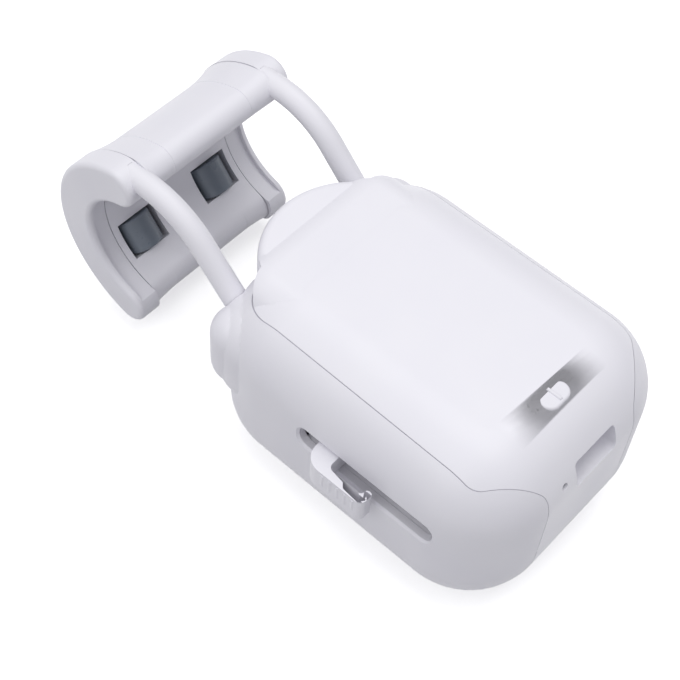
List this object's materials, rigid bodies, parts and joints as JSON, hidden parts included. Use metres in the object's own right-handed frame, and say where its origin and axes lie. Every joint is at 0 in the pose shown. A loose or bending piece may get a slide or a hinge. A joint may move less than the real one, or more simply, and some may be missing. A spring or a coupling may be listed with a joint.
{
  "type": "smart curtain robot",
  "caption": "White motor unit that hangs from a curtain rod by a roller hook on two ratchet arms and drives itself along the rod with a rubber wheel.",
  "frame": {"origin": "middle of the flat back face of the motor unit, which lies on its back", "axes": "+Z from the back to the front cover, +Y along the unit towards the hook, +X along the curtain rod"},
  "size_m": [0.0692, 0.1235, 0.0528],
  "materials": {
    "shell_white": "satin",
    "cover_white": "satin",
    "arm_white": "matt",
    "steel": "satin",
    "battery_wrap": "satin",
    "board_green": "satin",
    "black_plastic": "matt",
    "grey_plastic": "matt",
    "brass": "satin",
    "gear_plastic": "satin",
    "tyre_rubber": "matt",
    "carriage_brown": "matt",
    "roller_grey": "satin"
  },
  "bodies": {
    "main_unit": {"rear_housing": "shell_white", "front_cover": "cover_white", "cover_screws": "steel", "rack_left": "shell_white", "rack_right": "shell_white", "battery_pack": "battery_wrap", "circuit_board": "board_green", "charging_socket": "steel", "slide_switch": "black_plastic", "reset_switch": "black_plastic", "gear_plate": "grey_plastic", "plate_screws": "steel", "wheel_bridge": "grey_plastic", "gear_motor": "steel", "idler_pin": "steel", "lower_bush": "brass", "upper_bush": "brass"},
    "hook": {"arm_left": "arm_white", "arm_right": "arm_white", "carriage_left": "carriage_brown", "carriage_right": "carriage_brown", "latch_spring_left": "steel", "latch_spring_right": "steel", "hook_outer_shell": "shell_white", "hook_inner_liner": "shell_white", "hook_cap_left": "shell_white", "hook_cap_right": "shell_white", "roller_pins": "steel"},
    "latch_left": {"latch_left": "shell_white"},
    "latch_right": {"latch_right": "shell_white"},
    "drive_wheel": {"drive_axle": "steel", "wheel_hub": "gear_plastic", "wheel_tyre": "tyre_rubber", "wheel_gear": "gear_plastic"},
    "idler": {"idler_gear": "gear_plastic"},
    "pinion": {"motor_pinion": "brass"},
    "power_slide": {"power_knob": "shell_white"},
    "reset_button": {"reset_plunger": "grey_plastic"},
    "roller_back_left": {"roller_back_left": "roller_grey"},
    "roller_back_right": {"roller_back_right": "roller_grey"},
    "roller_front_left": {"roller_front_left": "roller_grey"},
    "roller_front_right": {"roller_front_right": "roller_grey"}
  },
  "joints": [
    {"name": "hook_slide", "type": "slide", "parent": "main_unit", "child": "hook", "axis": [0, 1, 0], "range_m": [-0.009, 0.004], "deforming": ["arm_left", "arm_right"]},
    {"name": "latch_left_press", "type": "slide", "parent": "hook", "child": "latch_left", "axis": [1, 0, 0], "range_m": [0, 0.0012], "stiffness_N_per_m": 500, "deforming": ["latch_spring_left"]},
    {"name": "latch_right_press", "type": "slide", "parent": "hook", "child": "latch_right", "axis": [-1, 0, 0], "range_m": [0, 0.0012], "stiffness_N_per_m": 500, "deforming": ["latch_spring_right"]},
    {"name": "drive_wheel_spin", "type": "hinge", "parent": "main_unit", "child": "drive_wheel", "pos_m": [0, 0.0288, 0.029], "axis": [0, 0, 1], "continuous": true},
    {"name": "idler_spin", "type": "hinge", "parent": "main_unit", "child": "idler", "pos_m": [0, 0.0127, 0.015], "axis": [0, 0, 1], "continuous": true},
    {"name": "pinion_spin", "type": "hinge", "parent": "main_unit", "child": "pinion", "pos_m": [0, -0.0034, 0.015], "axis": [0, 0, 1], "continuous": true},
    {"name": "power_slide", "type": "slide", "parent": "main_unit", "child": "power_slide", "axis": [1, 0, 0], "range_m": [-0.0018, 0.0018]},
    {"name": "reset_press", "type": "slide", "parent": "main_unit", "child": "reset_button", "axis": [0, 1, 0], "range_m": [0, 0.0004], "stiffness_N_per_m": 400},
    {"name": "roller_back_left_spin", "type": "hinge", "parent": "hook", "child": "roller_back_left", "pos_m": [-0.011, 0.07471, 0.01775], "axis": [0, 0.6428, 0.766], "continuous": true},
    {"name": "roller_back_right_spin", "type": "hinge", "parent": "hook", "child": "roller_back_right", "pos_m": [0.011, 0.07471, 0.01775], "axis": [0, 0.6428, 0.766], "continuous": true},
    {"name": "roller_front_left_spin", "type": "hinge", "parent": "hook", "child": "roller_front_left", "pos_m": [-0.011, 0.07471, 0.04025], "axis": [0, -0.6428, 0.766], "continuous": true},
    {"name": "roller_front_right_spin", "type": "hinge", "parent": "hook", "child": "roller_front_right", "pos_m": [0.011, 0.07471, 0.04025], "axis": [0, -0.6428, 0.766], "continuous": true}
  ],
  "couplings": [
    {"joint": "idler_spin", "follows": "drive_wheel_spin", "ratio": -0.53333},
    {"joint": "pinion_spin", "follows": "drive_wheel_spin", "ratio": 1}
  ]
}
